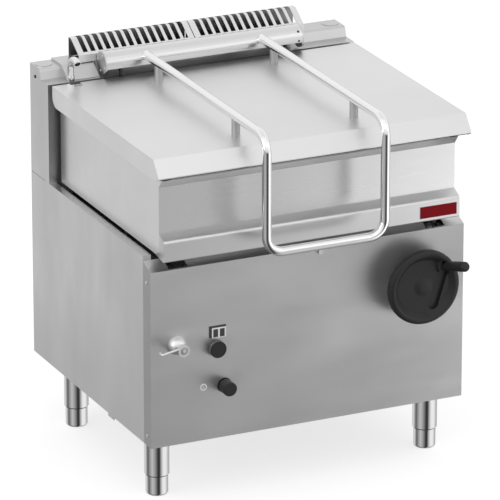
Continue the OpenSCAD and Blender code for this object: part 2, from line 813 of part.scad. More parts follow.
module drive_pinion() {
    place() color("gray") difference() {
        section_x(gear_x0 - 1, gear_x1 - 1) translate([cross_y, cross_z])
            polygon(teeth(mesh_a + 180, pinion_n, pinion_r, pinion_n, gear_m, 0.35));
        rod_x(gear_x0 - 3, gear_x1 + eps, cross_y, cross_z, cross_r + press_fit);
    }
}

module cross_shaft() place() color("silver") rod_x(cross_x0, cross_x1, cross_y, cross_z, cross_r);

// Bronze wheel whose teeth lean with the worm's lead
module worm_wheel() {
    w = 12;
    step_a = 360 / worm_wheel_n;
    root = worm_wheel_r - 1.25 * worm_m;
    half_root = worm_pitch / 4 - 0.3 + 1.25 * worm_m * tan(pressure_a);
    half_tip = worm_pitch / 4 - 0.3 - worm_m * tan(pressure_a);
    place() color("goldenrod") translate([wheel_x, cross_y, cross_z]) difference() {
        union() {
            rotate([0, 90, 0]) translate([0, 0, -w / 2]) cylinder(h = w, r = root + 0.3);
            rotate([0, 90, 0]) translate([0, 0, -14]) cylinder(h = 28, r = 14);
            for (i = [0 : worm_wheel_n - 1]) rotate([i * step_a, 0, 0])
                rotate([0, 0, worm_lead_angle]) rotate([90, 0, 90]) translate([0, 0, -w / 2])
                    linear_extrude(w) polygon([[-half_root, -root], [-half_tip, -worm_wheel_r - worm_m],
                        [half_tip, -worm_wheel_r - worm_m], [half_root, -root]]);
        }
        rotate([0, 90, 0]) translate([0, 0, -20]) cylinder(h = 40, r = cross_r + press_fit);
    }
}

// Radius of the worm's cross section at angle a: straight-sided threads seen along the axis
function worm_radius(a) = let(
    turn = 360 / worm_starts,
    off = abs(((a % turn) + turn + turn / 2) % turn - turn / 2) / 360 * worm_lead,
    half = worm_pitch / 4 - 0.3)
    min(worm_r + worm_m, max(worm_r - 1.2 * worm_m, worm_r + (half - off) / tan(pressure_a)));

// Shaft with the worm cut on it; a groove faces the wheel's lowest tooth
module worm_shaft() {
    slices = 56;
    steps = 36;
    place() color("silver") {
        translate([wheel_x, cross_y - worm_len / 2, wheel_z]) rotate([-90, 0, 0])
            rotate([0, 0, worm_phase])
                linear_extrude(worm_len, twist = -360 * worm_len / worm_lead, slices = slices)
                    polygon([for (i = [0 : steps - 1]) polar(worm_radius(i * 360 / steps), i * 360 / steps)]);
        rod_y(wheel_x, -50, worm_bearings[1] + 14, wheel_z, shaft_r);
        rod_y(wheel_x, worm_bearings[0] + 12, worm_bearings[0] + 18, wheel_z, 13);
    }
}
module cut_trough(depth) {
    translate([grip_px, grip_py, 0]) rotate([0, 0, trough_a]) {
        translate([-13, -13.5, wheel_front - depth]) cube([trough_len + 13 - 13.5, 27, depth + 10]);
        translate([trough_len - 13.5, 0, wheel_front - depth]) cylinder(h = depth + 10, r = 13.5);
    }
}

// Dished wheel with a rounded rim, a hub, and a shoulder round the grip's pivot with the trough that
// the grip folds into
module handwheel() {
    rim = 17;
    dish = 11;
    half_t = (wheel_front - wheel_back) / 2;
    place() color("black") on_panel(wheel_x, wheel_z) difference() {
        union() {
            rotate_extrude() polygon(concat(
                [[0, 20], [20, 20], [22, wheel_back + 4], [wheel_r - rim - 4, wheel_back + 4],
                    [wheel_r - rim, wheel_back]],
                arc(wheel_r - 9, wheel_back + 9, 9, 270, 360, 5),
                arc(wheel_r - 9, wheel_front - 9, 9, 0, 90, 5),
                arc(wheel_r - rim + 6, wheel_front - 6, 6, 90, 140, 4),
                [[wheel_r - rim - 8, wheel_front - dish], [0, wheel_front - dish]]));
            intersection() {
                translate([grip_px, grip_py, wheel_front - dish - 3])
                    cylinder(h = dish + 1, r1 = 24, r2 = 19);
                cylinder(h = 200, r = wheel_r - 8);
            }
        }
        intersection() {
            cut_trough(half_t * 2 - 5);
            cylinder(h = 200, r = wheel_r - 6);
        }
        translate([0, 0, 15]) cylinder(h = 35.05, r = shaft_r + press_fit);
        translate([grip_px, grip_py, grip_pz]) rotate([0, 0, trough_a]) rotate([90, 0, 0])
            translate([0, 0, -18]) cylinder(h = 36, r = 3.4 + run_fit);
    }
}

// The grip's own frame: x along the grip, y along the fold axis
module grip_frame()
    on_panel(wheel_x, wheel_z) translate([grip_px, grip_py, grip_pz]) rotate([0, 0, trough_a])
        rotate([0, -grip_open, 0]) children();

// Knuckle, its cross pin and the spindle that the sleeve turns on
module grip_arm() {
    place() color("gray") grip_frame() {
        rotate([90, 0, 0]) translate([0, 0, -11]) cylinder(h = 22, r = 7);
        rotate([90, 0, 0]) translate([0, 0, -17]) cylinder(h = 34, r = 3.4);
        rotate([0, 90, 0]) cylinder(h = 92, r = spindle_r);
        translate([4, 0, 0]) rotate([0, 90, 0]) cylinder(h = 8, r = 9);
    }
}

module grip_sleeve() {
    place() color("black") grip_frame() rotate([0, 90, 0]) difference() {
        rotate_extrude() polygon(concat([[0, 12.4], [grip_r - 1, 12.4], [grip_r - 0.4, 20],
            [grip_r, grip_len - 25]], arc(grip_r - 8, grip_len - 8, 8, 0, 90, 5), [[0, grip_len]]));
        cylinder(h = 92.2, r = spindle_r + run_fit);
    }
}

module hinge_bracket() {
    foot = rim_z - 54.2;
    difference() {
        union() {
            section_x(hinge_bracket_x - 3, hinge_bracket_x + 3) {
                translate([barrel_y, barrel_z]) circle(r = 15);
                polygon([[pan_rear + 1, foot - 100], [pan_rear + 1, foot], [pan_rear + 3, foot],
                    [pan_rear + 5.5, foot + 6], [pan_rear + 5.5, rim_z + 5.8], [barrel_y - 13, barrel_z - 5],
                    [barrel_y, barrel_z - 14], [pan_rear + 15, rim_z + 9.8], [pan_rear + 15, foot - 60]]);
            }
            box(hinge_bracket_x - 18, hinge_bracket_x + 18, pan_rear, pan_rear + 3, foot - 100, foot);
        }
        rod_x(hinge_bracket_x - 5, hinge_bracket_x + 5, barrel_y, barrel_z, hinge_r + press_fit);
    }
}

module hinge_bracket_left() place() color("gray") mirror([1, 0, 0]) hinge_bracket();

module hinge_bracket_right() place() color("gray") hinge_bracket();

module hinge_shaft()
    place() color("silver") rod_x(1.5 - barrel_half, barrel_half - 1.5, barrel_y, barrel_z, hinge_r);

// Two close-wound torsion springs on the hinge shaft
module hinge_springs() {
    wire = 4;
    coils = 24;
    x0 = 60;
    place() color("dimgray") both_sides() translate([x0, barrel_y, barrel_z]) rotate([0, 90, 0])
        rotate_extrude() polygon(concat([[hinge_r + 0.3, 0]],
            [for (i = [0 : coils - 1]) each [[hinge_r + wire, i * wire + 0.2],
                [hinge_r + wire + 1, (i + 0.5) * wire], [hinge_r + wire, (i + 1) * wire - 0.2]]],
            [[hinge_r + 0.3, coils * wire]]));
}

// Lid outline as a [y, z] section
module lid_outside() {
    polygon(concat([[lid_nose, lid_nose_z], [lid_front, lid_top], [lid_rear, lid_top]],
        arc(lid_rear - 25, lid_low + 25, 25, 0, -90, 6),
        [[-28, lid_low], [-28, lid_nose_z - 4], [lid_nose, lid_nose_z - 4]]));
}

module lid_inside() {
    polygon([[lid_front + 0.9, lid_top - lid_t], [lid_nose + 2.4, lid_nose_z - 0.2],
        [lid_nose + 2, lid_nose_z - 2], [-28, lid_nose_z - 2], [-28, lid_low - 10],
        [lid_rear + 5, lid_low - 10], [lid_rear + 5, lid_top - lid_t]]);
}

// Lid pressed from sheet: sloped nose with a folded edge, deep sides and a notch for the spout
module lid_shell() {
    place() color("silver") difference() {
        section_x(-lid_half, lid_half) lid_outside();
        section_x(-lid_half + lid_t, lid_half - lid_t) lid_inside();
        rod_z(spout_x, notch_y, lid_top - 10, lid_top + 10, notch_r);
        box(spout_x - notch_r, spout_x + notch_r, notch_y, lid_rear + eps, lid_top - 10, lid_top + 10);
    }
}

// Barrel shell, open underneath for the hinge brackets, with two tensioning holes near its right end
module barrel_cover() {
    x = barrel_half - 4;
    place() color("silver") difference() {
        section_x(-x, x) translate([barrel_y, barrel_z]) difference() {
            circle(r = barrel_r);
            circle(r = barrel_r - barrel_t);
            polygon([[0, 0], polar(60, 200), [0, -90], polar(60, 345)]);
        }
        for (a = [143, 190])
            translate([x - 9, barrel_y, barrel_z]) rotate([a, 0, 0])
                rod_y(0, barrel_r - 6, barrel_r + 6, 0, 3);
    }
}

module barrel_disc() {
    difference() {
        rod_x(barrel_half - 4, barrel_half, barrel_y, barrel_z, barrel_r);
        rod_x(barrel_half - 5, barrel_half - 1.2, barrel_y, barrel_z, hinge_r + run_fit);
    }
}

module barrel_discs() place() color("silver") both_sides() barrel_disc();

module disc_screws() {
    place() color("silver") both_sides()
        for (a = [20 : 90 : 290])
            translate([barrel_half, barrel_y + 21 * cos(a), barrel_z + 21 * sin(a)])
                rotate([0, 90, 0]) cylinder(h = 1.5, r = 2.5);
}

// Solid core of the handle's path, of radius r, from the barrel over the lid and down the front
module handle_path(r) {
    both_sides() {
        rod_y(arm_x, leg_y + bend_r, barrel_y, arm_z, r);
        translate([arm_x, leg_y + bend_r, arm_z - bend_r]) rotate([90, 0, 90]) rotate([0, 0, 90])
            rotate_extrude(angle = 90) translate([bend_r, 0]) circle(r = r);
        rod_z(arm_x, leg_y, bar_z + corner_r, arm_z - bend_r, r);
        translate([arm_x - corner_r, leg_y, bar_z + corner_r]) rotate([90, 0, 0]) rotate([0, 0, 270])
            rotate_extrude(angle = 90) translate([corner_r, 0]) circle(r = r);
    }
    rod_x(corner_r - arm_x, arm_x - corner_r, leg_y, bar_z, r);
}

module handle_tube() {
    place() color("silver") difference() {
        handle_path(tube_r);
        handle_path(tube_r - 1.5);
        rod_x(-200, 200, barrel_y, barrel_z, barrel_r);
        box(-200, 200, barrel_y - 20, barrel_y + eps, barrel_z - 60, barrel_z + 60);
    }
}

module handle_standoffs() {
    place() color("silver") difference() {
        both_sides() for (y = [standoff_front_y, standoff_rear_y])
            rod_z(arm_x, y, lid_top, arm_z - 1, standoff_r);
        both_sides() rod_y(arm_x, 0, barrel_y, arm_z, tube_r);
    }
}

// Flat control knob with ribs round its side and a plain face
module gas_knob() {
    place() color("black") on_panel(knob_x, knob_z) difference() {
        union() {
            translate([0, 0, 1]) cylinder(h = knob_d - 2.5, r = knob_r);
            translate([0, 0, knob_d - 1.6]) cylinder(h = 1.6, r = knob_r - 1.2);
        }
        for (i = [0 : 29]) rotate([0, 0, i * 12])
            translate([knob_r - 0.9, -0.8, 0]) cube([2, 1.6, knob_d - 3]);
        translate([0, 0, -eps]) cylinder(h = knob_stem + 2 * eps, r = 4 + run_fit);
    }
}

base_frame();
side_panel_left();
side_panel_right();
back_panel();
front_panel();
rear_housing();
flue_duct();
flue_grille_left();
flue_grille_right();
housing_plugs();
leg_sleeves();
leg_feet();
pivot_bracket_left();
pivot_bracket_right();
pivot_pins();
gear_bracket();
gear_bushes();
pan_rests();
fire_box();
burner_tubes();
gas_manifold();
gas_inlet();
gas_valve();
pilot_igniter();
piezo_housing();
tap_valve();
water_inlet();
water_pipe();
water_spout();
panel_screws();
pan_well();
pan_base();
pan_jacket();
pan_insulation();
front_trim();
badge_plate();
pan_lug_left();
pan_lug_right();
sector_gear();
lug_bushes();
hinge_bracket_left();
hinge_bracket_right();
hinge_shaft();
lid_shell();
barrel_cover();
barrel_discs();
disc_screws();
hinge_springs();
handle_tube();
handle_standoffs();
handwheel();
worm_shaft();
cross_shaft();
worm_wheel();
drive_pinion();
grip_arm();
grip_sleeve();
gas_knob();
igniter_button();
tap_lever();
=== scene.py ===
import math
import bpy
import bmesh
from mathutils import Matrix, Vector


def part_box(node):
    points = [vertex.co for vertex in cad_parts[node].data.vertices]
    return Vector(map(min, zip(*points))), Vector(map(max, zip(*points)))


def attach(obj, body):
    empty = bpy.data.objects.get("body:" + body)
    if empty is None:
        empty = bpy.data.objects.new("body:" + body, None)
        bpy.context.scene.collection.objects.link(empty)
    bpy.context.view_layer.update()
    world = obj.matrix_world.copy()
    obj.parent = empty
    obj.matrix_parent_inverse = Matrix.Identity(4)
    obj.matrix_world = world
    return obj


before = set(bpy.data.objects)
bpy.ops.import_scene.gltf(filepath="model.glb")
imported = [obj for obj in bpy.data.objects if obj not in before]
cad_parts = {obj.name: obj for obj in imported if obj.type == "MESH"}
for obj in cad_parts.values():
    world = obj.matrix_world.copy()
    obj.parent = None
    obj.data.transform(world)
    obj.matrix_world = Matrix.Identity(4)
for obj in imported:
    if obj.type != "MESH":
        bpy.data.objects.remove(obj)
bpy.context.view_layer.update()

# In part.scad y starts at the front panel's face, this many mm in front of the frame's middle
MID_Y = 286.338


def P(x, y, z):
    """A point given in part.scad's millimetres, in metres of the frame."""
    return Vector((x / 1000, (y - MID_Y) / 1000, z / 1000))


# ---------------------------------------------------------------- camera
# The view fitted to the cabinet's edges in the photograph
AZIMUTH, ELEVATION, DISTANCE = math.radians(-24.96), math.radians(20.01), 12.8327
TARGET = P(36.14, 400, 438.53)
LENS, SENSOR = 388.6, 36


def make_camera():
    data = bpy.data.cameras.new("camera")
    data.lens = LENS
    data.sensor_width = SENSOR
    data.clip_end = 100
    camera = bpy.data.objects.new("camera", data)
    bpy.context.collection.objects.link(camera)
    back = Vector((math.sin(AZIMUTH) * math.cos(ELEVATION), -math.cos(AZIMUTH) * math.cos(ELEVATION),
                   math.sin(ELEVATION)))
    camera.location = TARGET + back * DISTANCE
    camera.rotation_euler = (-back).to_track_quat("-Z", "Y").to_euler()
    bpy.context.scene.camera = camera


make_camera()
bpy.context.scene.view_settings.view_transform = "Standard"


# ---------------------------------------------------------------- node helpers
def feed(tree, value, socket):
    """Sets a socket to a number or a colour, or links an output to it."""
    if isinstance(value, bpy.types.NodeSocket):
        tree.links.new(value, socket)
    elif isinstance(value, (tuple, list)):
        socket.default_value = (*value, 1)
    else:
        socket.default_value = value


def math_node(tree, operation, *values):
    node = tree.nodes.new("ShaderNodeMath")
    node.operation = operation
    for value, socket in zip(values, node.inputs):
        feed(tree, value, socket)
    return node.outputs[0]


def map_range(tree, value, from_min, from_max, to_min=0.0, to_max=1.0):
    node = tree.nodes.new("ShaderNodeMapRange")
    node.inputs["From Min"].default_value = from_min
    node.inputs["From Max"].default_value = from_max
    node.inputs["To Min"].default_value = to_min
    node.inputs["To Max"].default_value = to_max
    tree.links.new(value, node.inputs["Value"])
    return node.outputs["Result"]


def mix_color(tree, fac, first, second):
    node = tree.nodes.new("ShaderNodeMix")
    node.data_type = "RGBA"
    feed(tree, fac, node.inputs[0])
    feed(tree, first, node.inputs[6])
    feed(tree, second, node.inputs[7])
    return node.outputs[2]


def split_xyz(tree, vector):
    node = tree.nodes.new("ShaderNodeSeparateXYZ")
    tree.links.new(vector, node.inputs[0])
    return node.outputs


def noise(tree, scale, detail, stretch=(1, 1, 1)):
    """Noise in the object's own coordinates. stretch below 1 draws it out along that axis."""
    place = tree.nodes.new("ShaderNodeTexCoord")
    mapping = tree.nodes.new("ShaderNodeMapping")
    mapping.inputs["Scale"].default_value = stretch
    tree.links.new(place.outputs["Object"], mapping.inputs["Vector"])
    node = tree.nodes.new("ShaderNodeTexNoise")
    node.inputs["Scale"].default_value = scale
    node.inputs["Detail"].default_value = detail
    tree.links.new(mapping.outputs["Vector"], node.inputs["Vector"])
    return node.outputs["Fac"]


# Between these two values lies most of a noise
NOISE_LOW, NOISE_HIGH = 0.3, 0.7


def spread(tree, fac, low, high):
    """Stretches a noise over a range."""
    return map_range(tree, fac, NOISE_LOW, NOISE_HIGH, low, high)


def around(color, share):
    """The same colour a share darker and a share lighter."""
    return [c * (1 - share) for c in color], [min(1, c * (1 + share)) for c in color]


def bump(tree, fac, strength, distance, bsdf):
    node = tree.nodes.new("ShaderNodeBump")
    node.inputs["Strength"].default_value = strength
    node.inputs["Distance"].default_value = distance
    tree.links.new(fac, node.inputs["Height"])
    tree.links.new(node.outputs["Normal"], bsdf.inputs["Normal"])


# ---------------------------------------------------------------- materials
# Noise scales, in repeats per metre, and how far brushing draws the grain and the wiped smears out
GRAIN, CLOUDS, SMEARS, UNEVEN = 900, 3.2, 11, 9
GRAIN_STRETCH = {"x": (0.012, 1, 1), "z": (1, 1, 0.012), "none": (1, 1, 1)}
SMEAR_STRETCH = {"x": (0.35, 1, 1), "z": (1, 1, 0.35), "none": (1, 1, 0.35)}
# Shares of the grain and of the clouds in steel's colour
GRAIN_SHARE, CLOUD_SHARE = 0.35, 0.65
# How much the grain changes steel's roughness, the depth of its scratches in m, and uneven gloss on plastic
GRAIN_GLOSS, SCRATCH, PLAIN_GLOSS = 0.03, 0.0002, 0.06


def new_material(name):
    mat = bpy.data.materials.new(name)
    mat.use_nodes = True
    return mat, mat.node_tree, mat.node_tree.nodes["Principled BSDF"]


def steel(name, color, rough=0.32, grain="x", depth=0.12, cloud=0.05, smear=0.05, wide=0.0):
    """Brushed steel: fine grain along one axis, soft clouds in colour and roughness, faint smears.
    wide spreads its reflections sideways, round the vertical axis."""
    mat, tree, bsdf = new_material(name)
    if wide:
        bsdf.inputs["Anisotropic"].default_value = wide
        tangent = tree.nodes.new("ShaderNodeTangent")
        tangent.direction_type = "RADIAL"
        tangent.axis = "Z"
        tree.links.new(tangent.outputs["Tangent"], bsdf.inputs["Tangent"])
    bsdf.inputs["Metallic"].default_value = 1.0
    fine = noise(tree, GRAIN, 2, GRAIN_STRETCH[grain])
    soft = noise(tree, CLOUDS, 2)
    wiped = noise(tree, SMEARS, 4, SMEAR_STRETCH[grain])
    both = math_node(tree, "MULTIPLY_ADD", fine, GRAIN_SHARE, math_node(tree, "MULTIPLY", soft, CLOUD_SHARE))
    tone = mix_color(tree, spread(tree, both, 0, 1), *around(color, cloud))
    tree.links.new(tone, bsdf.inputs["Base Color"])
    gloss = math_node(tree, "ADD", spread(tree, wiped, rough - smear, rough + smear),
                      spread(tree, fine, -GRAIN_GLOSS, GRAIN_GLOSS))
    tree.links.new(gloss, bsdf.inputs["Roughness"])
    bump(tree, fine, depth, SCRATCH, bsdf)
    return mat


def plain(name, color, rough, metallic=0.0, grain=400, depth=0.15, distance=0.0003, vary=0.08, spec=0.5):
    """Moulded plastic, rubber, paint or casting with a fine surface texture and uneven gloss."""
    mat, tree, bsdf = new_material(name)
    bsdf.inputs["Metallic"].default_value = metallic
    bsdf.inputs["Specular IOR Level"].default_value = spec
    fine = noise(tree, grain, 3)
    soft = noise(tree, UNEVEN, 3)
    tone = mix_color(tree, spread(tree, soft, 0, 1), *around(color, vary))
    tree.links.new(tone, bsdf.inputs["Base Color"])
    tree.links.new(spread(tree, soft, rough - PLAIN_GLOSS, rough + PLAIN_GLOSS), bsdf.inputs["Roughness"])
    bump(tree, fine, depth, distance, bsdf)
    return mat


def recolor(mat, fac, color):
    """Mixes a second colour into a material where fac is 1."""
    tree = mat.node_tree
    base = tree.nodes["Principled BSDF"].inputs["Base Color"]
    tree.links.new(mix_color(tree, fac, base.links[0].from_socket, color), base)
    return mat


# The flue outlet's inside, which gets painted shade: behind this y in m, facing forward, or anywhere facing
# down
FLUE_Y, FACES_FRONT, FACES_DOWN = 0.36, -0.93, -0.3
# The rear column's screws: outside this x and above this z, in m
COLUMN_X, COLUMN_Z = 0.399, 0.8


def painted_flue_shade(mat, color):
    """Painted shade behind the slots: darkens faces that look forward inside the flue outlet, and faces that
    look down.
    """
    tree = mat.node_tree
    normal = split_xyz(tree, tree.nodes.new("ShaderNodeNewGeometry").outputs["True Normal"])
    place = split_xyz(tree, tree.nodes.new("ShaderNodeTexCoord").outputs["Object"])
    facing = math_node(tree, "LESS_THAN", normal["Y"], FACES_FRONT)
    inside = math_node(tree, "GREATER_THAN", place["Y"], FLUE_Y)
    below = math_node(tree, "LESS_THAN", normal["Z"], FACES_DOWN)
    fac = math_node(tree, "MAXIMUM", math_node(tree, "MULTIPLY", facing, inside), below)
    return recolor(mat, fac, color)


def dark_heads(mat, color):
    """The rear column's screws are made dark, the others and the clip on the front panel stay bright."""
    tree = mat.node_tree
    place = split_xyz(tree, tree.nodes.new("ShaderNodeTexCoord").outputs["Object"])
    outside = math_node(tree, "GREATER_THAN", math_node(tree, "ABSOLUTE", place["X"]), COLUMN_X)
    high = math_node(tree, "GREATER_THAN", place["Z"], COLUMN_Z)
    return recolor(mat, math_node(tree, "MULTIPLY", outside, high), color)


def grey(value):
    return (value, value, value)


M = {
    "panel": steel("panel_steel", grey(0.72), 0.50, "x", 0.08, wide=0.85),
    "side": steel("side_steel", grey(0.62), 0.36, "z", 0.08),
    "jacket": steel("jacket_steel", grey(0.70), 0.30, "x", 0.025, 0.02, smear=0.015, wide=0.3),
    "lid": steel("lid_steel", grey(0.77), 0.36, "x", 0.04, 0.03, smear=0.03),
    "barrel": steel("barrel_steel", grey(0.74), 0.20, "x", 0.05, 0.03, smear=0.02),
    "disc": steel("disc_steel", grey(0.64), 0.34, "none", 0.08),
    "trim": steel("trim_steel", grey(0.68), 0.34, "x", 0.04, 0.03, smear=0.02, wide=0.6),
    # the grille's inside and its undersides get painted shade, grey 0.34
    "grille": painted_flue_shade(steel("grille_steel", grey(0.80), 0.30, "x", 0.08), grey(0.34)),
    "well": steel("well_steel", (0.66, 0.66, 0.65), 0.28, "x", 0.06),
    "chrome": steel("polished_tube", (0.88, 0.88, 0.89), 0.13, "none", 0.02, 0.02, smear=0.02),
    "satin": steel("satin_metal", grey(0.84), 0.34, "none", 0.03, 0.02),
    "spout": steel("spout_chrome", (0.84, 0.84, 0.85), 0.22, "none", 0.02, 0.02, smear=0.02),
    "grey_satin": steel("standoff_metal", grey(0.50), 0.55, "z", 0.05, 0.04),
    "legs": steel("leg_tube", (0.90, 0.90, 0.91), 0.07, "z", 0.006, 0.02, smear=0.01),
    "screw": dark_heads(steel("screw_steel", grey(0.62), 0.30, "none", 0.05), grey(0.05)),
    "pale_screw": steel("pale_screw_steel", grey(0.85), 0.34, "none", 0.05),
    "machined": steel("machined_steel", grey(0.50), 0.34, "none", 0.10, 0.1),
    "heat": steel("heat_steel", (0.20, 0.19, 0.18), 0.50, "none", 0.1, 0.25),
    "pipe": steel("pipe_steel", (0.50, 0.49, 0.45), 0.45, "none", 0.1, 0.12),
    "copper": steel("pipe_copper", (0.66, 0.40, 0.26), 0.32, "none", 0.05, 0.1),
    "bronze": steel("bronze", (0.60, 0.45, 0.22), 0.35, "none", 0.08, 0.1),
    "plate": plain("base_plate", grey(0.18), 0.6, 0.8, 220, 0.3),
    # near-black paint on the frame, brackets and lugs, darkened further as painted shade so the slots under
    # the front trim read black
    "frame": plain("frame_paint_slot_shade", (0.03, 0.03, 0.032), 0.5, 0.0, 260, 0.12, spec=0.3),
    "plastic": plain("black_plastic", (0.022, 0.022, 0.023), 0.48, 0.0, 700, 0.10, spec=0.32),
    "rubber": plain("buffer_rubber", grey(0.02), 0.8),
    "wool": plain("mineral_wool", (0.52, 0.46, 0.28), 0.95, 0.0, 160, 1.0, 0.002, 0.25, 0.1),
    "badge": plain("badge_red", (0.23, 0.002, 0.008), 0.42, 0.0, 500, 0.03, spec=0.12),
    "mark": plain("mark_dark", grey(0.045), 0.5),
    "mark_pale": plain("mark_pale", grey(0.88), 0.5),
    # pale grey of the gas knob's rib crests: painted highlight
    "rib": plain("rib_highlight_grey", grey(0.42), 0.5),
    "shade": plain("bore_shade", grey(0.03), 0.6),
}

NODE_MATERIAL = {
    "panel": "front_panel back_panel",
    "side": "side_panel_left side_panel_right rear_housing housing_plugs",
    "jacket": "pan_jacket",
    "lid": "lid_shell",
    "barrel": "barrel_cover",
    "disc": "barrel_discs",
    "trim": "front_trim",
    "grille": "flue_grille_left flue_grille_right",
    "well": "pan_well",
    "chrome": "handle_tube",
    "spout": "water_spout",
    "satin": "tap_valve tap_lever",
    "grey_satin": "handle_standoffs",
    "legs": "leg_sleeves leg_feet",
    "screw": "panel_screws",
    "pale_screw": "disc_screws",
    "machined": "cross_shaft worm_shaft drive_pinion sector_gear pivot_pins hinge_shaft",
    "heat": "fire_box burner_tubes flue_duct pilot_igniter hinge_springs",
    "pipe": "gas_manifold gas_inlet",
    "copper": "water_inlet water_pipe",
    "bronze": "gear_bushes lug_bushes worm_wheel gas_valve",
    "plate": "pan_base",
    "frame": "base_frame gear_bracket pivot_bracket_left pivot_bracket_right pan_lug_left pan_lug_right"
             " hinge_bracket_left hinge_bracket_right",
    "plastic": "handwheel grip_arm grip_sleeve gas_knob igniter_button piezo_housing",
    "rubber": "pan_rests",
    "wool": "pan_insulation",
    "badge": "badge_plate",
}

# Width in mm of the rounded edges: the usual one, the nodes with another one, and the nodes with none
USUAL_EDGE = 0.4
EDGE = {"handwheel": 1.2, "grip_sleeve": 0.8, "gas_knob": 0.25, "igniter_button": 0.8, "piezo_housing": 0.6,
        "lid_shell": 0.8, "front_trim": 0.5, "handle_tube": 0.3, "leg_feet": 0.6}
NO_EDGE = {"worm_shaft", "flue_grille_left", "flue_grille_right", "worm_wheel"}
# Edges sharper than this are rounded
EDGE_ANGLE = math.radians(32)


def soften(obj, width_mm):
    bevel = obj.modifiers.new("edges", "BEVEL")
    bevel.width = width_mm / 1000
    bevel.segments = 2
    bevel.limit_method = "ANGLE"
    bevel.angle_limit = EDGE_ANGLE


for key, names in NODE_MATERIAL.items():
    for node in names.split():
        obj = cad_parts[node]
        obj.data.materials.clear()
        obj.data.materials.append(M[key])
        if node not in NO_EDGE:
            soften(obj, EDGE.get(node, USUAL_EDGE))


# ---------------------------------------------------------------- floor, world and lamps
# The floor's own grey, and the light it gives to the camera alone, which together are white
FLOOR_COLOR, FLOOR_GLOW = 0.34, 0.74
FLOOR_SIZE, FLOOR_Z = 60, -0.0005
WHITE = (1, 1, 1, 1)

# The studio round the object: (degrees from the front towards the right, brightness) below the horizon
STUDIO_LOW = ((-180, 0.60), (-155, 0.74), (-132, 0.40), (-112, 0.10), (-92, 0.30), (-66, 0.55),
              (-46, 0.38), (-25, 0.16), (-14, 0.04), (3, 0.04), (17, 0.42), (38, 0.88), (68, 0.90),
              (104, 0.45), (180, 0.60))
# and above it: (height of the direction, brightness)
STUDIO_HIGH = ((0.0, 0.70), (0.25, 0.92), (0.6, 1.0), (1.0, 0.85))
# From the one height to the other the low part changes into the high one
HORIZON = (-0.05, 0.02)
# Straight down, from the second of these heights to the first, it is darker, by this factor
STEEP = (-0.85, -0.45)
STUDIO_UNDER = 0.55


def make_floor():
    """White for the camera, with the object's shadow. Reflections leave it out and show the world."""
    bpy.ops.mesh.primitive_plane_add(size=FLOOR_SIZE, location=(0, 0, FLOOR_Z))
    floor = bpy.context.object
    floor.name = "floor"
    floor.visible_glossy = False
    mat = bpy.data.materials.new("floor")
    mat.use_nodes = True
    tree = mat.node_tree
    nodes, links = tree.nodes, tree.links
    nodes.remove(nodes["Principled BSDF"])
    diffuse = nodes.new("ShaderNodeBsdfDiffuse")
    diffuse.inputs["Color"].default_value = (*grey(FLOOR_COLOR), 1)
    glow = nodes.new("ShaderNodeEmission")
    glow.inputs["Color"].default_value = WHITE
    camera_ray = nodes.new("ShaderNodeLightPath").outputs["Is Camera Ray"]
    links.new(math_node(tree, "MULTIPLY", camera_ray, FLOOR_GLOW), glow.inputs["Strength"])
    both = nodes.new("ShaderNodeAddShader")
    links.new(diffuse.outputs[0], both.inputs[0])
    links.new(glow.outputs[0], both.inputs[1])
    links.new(both.outputs[0], nodes["Material Output"].inputs["Surface"])
    floor.data.materials.append(mat)


def ramp(tree, fac, stops):
    """A brightness that changes along fac: stops lists (place, brightness)."""
    node = tree.nodes.new("ShaderNodeValToRGB")
    elements = node.color_ramp.elements
    for i, (place, value) in enumerate(stops):
        element = elements[i] if i < 2 else elements.new(place)
        element.position = place
        element.color = (*grey(value), 1)
    tree.links.new(fac, node.inputs["Fac"])
    return node.outputs["Color"]


def make_world():
    """A soft studio for light and reflections, plain white for the camera."""
    world = bpy.data.worlds.new("world")
    bpy.context.scene.world = world
    world.use_nodes = True
    tree = world.node_tree
    nodes, links = tree.nodes, tree.links
    way = split_xyz(tree, nodes.new("ShaderNodeTexCoord").outputs["Generated"])
    turn = math_node(tree, "ARCTAN2", way["X"], math_node(tree, "MULTIPLY", way["Y"], -1))
    low = ramp(tree, map_range(tree, turn, -math.pi, math.pi), [((a + 180) / 360, v) for a, v in STUDIO_LOW])
    high = ramp(tree, way["Z"], STUDIO_HIGH)
    dimmed = mix_color(tree, map_range(tree, way["Z"], *STEEP, STUDIO_UNDER), (0, 0, 0), low)
    studio = nodes["Background"]
    links.new(mix_color(tree, map_range(tree, way["Z"], *HORIZON), dimmed, high), studio.inputs["Color"])
    white = nodes.new("ShaderNodeBackground")
    white.inputs["Color"].default_value = WHITE
    mix = nodes.new("ShaderNodeMixShader")
    links.new(nodes.new("ShaderNodeLightPath").outputs["Is Camera Ray"], mix.inputs[0])
    links.new(studio.outputs[0], mix.inputs[1])
    links.new(white.outputs[0], mix.inputs[2])
    links.new(mix.outputs[0], nodes["World Output"].inputs["Surface"])


def area(name, location, target, size, energy):
    """A rectangular lamp."""
    data = bpy.data.lights.new(name, "AREA")
    data.shape = "RECTANGLE"
    data.size, data.size_y = size
    data.energy = energy
    lamp = bpy.data.objects.new(name, data)
    bpy.context.collection.objects.link(lamp)
    lamp.location = location
    lamp.rotation_euler = (Vector(target) - Vector(location)).to_track_quat("-Z", "Y").to_euler()


make_floor()
make_world()
# Where each lamp stands and what it points at, its size in m and its power in W
area("lamp_top", (-0.6, -1.9, 3.0), (0, 0, 0.5), (3.2, 2.8), 5)
area("lamp_right", (2.8, -2.6, 1.5), (0, 0, 0.4), (3.4, 3.4), 10)
area("lamp_left", (-3.0, -0.8, 1.9), (0, 0, 0.4), (1.2, 2.0), 12)
area("lamp_low", (1.25, -1.5, 0.02), (0.35, -0.28, 0.45), (0.9, 0.9), 2.0)
area("lamp_back", (-1.35, 1.9, 0.02), (-0.4, 0.35, 0.7), (0.8, 0.8), 0.45)


# ---------------------------------------------------------------- mesh helpers
SHARP_ANGLE = math.radians(35)
TURNED_SIDES, FLARE_SIDES = 48, 32


